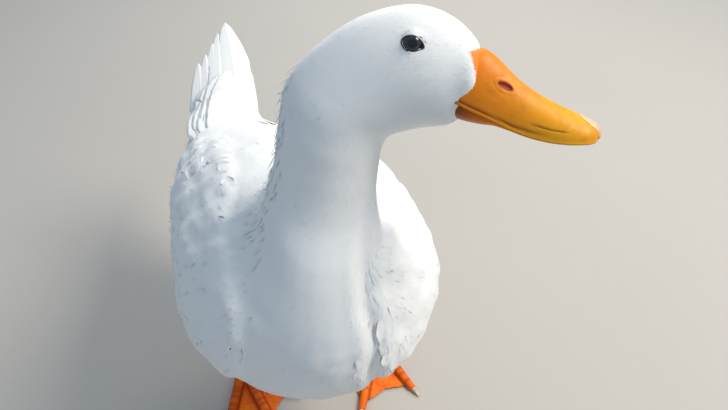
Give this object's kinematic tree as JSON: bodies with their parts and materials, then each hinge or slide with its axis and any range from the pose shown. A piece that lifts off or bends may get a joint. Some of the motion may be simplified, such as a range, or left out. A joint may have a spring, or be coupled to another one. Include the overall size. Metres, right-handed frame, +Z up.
{
  "type": "domestic duck",
  "caption": "White farmyard duck standing still on orange feet, neck upright, head turned aside with the bill level, and a raised pointed tail.",
  "frame": {"origin": "centre of the bounding box at floor level, under the body between the feet", "axes": "+Z up, -Y the way the body faces, +X to the duck's own left; the head is turned to +X"},
  "size_m": [0.2462, 0.4204, 0.4244],
  "materials": {
    "plumage": "soft white feathers, matt, faintly creamy low on the breast",
    "bill": "smooth horn, half-gloss, orange at the base and yellower to the tip",
    "nail": "smooth horn, half-gloss, pale pinkish",
    "foot": "scaly skin, half-matt, bright orange with redder creases",
    "claw": "horn, half-gloss, pale",
    "eye": "wet, glossy, dark blue-grey with a black pupil"
  },
  "bodies": {
    "root": {"rump": "plumage", "trunk": "plumage", "neck_lower": "plumage", "neck_upper": "plumage", "head": "plumage", "wing_left": "plumage", "wing_right": "plumage", "wing_end_left": "plumage", "wing_end_right": "plumage", "tail": "plumage", "thigh_left": "plumage", "thigh_right": "plumage", "eye_left": "eye", "eye_right": "eye", "bill_upper": "bill", "bill_lower": "bill", "bill_nail": "nail", "shank_left": "foot", "shank_right": "foot", "foot_left": "foot", "foot_right": "foot", "claw_left_1": "claw", "claw_left_2": "claw", "claw_left_3": "claw", "claw_left_4": "claw", "claw_right_1": "claw", "claw_right_2": "claw", "claw_right_3": "claw", "claw_right_4": "claw"}
  },
  "joints": []
}
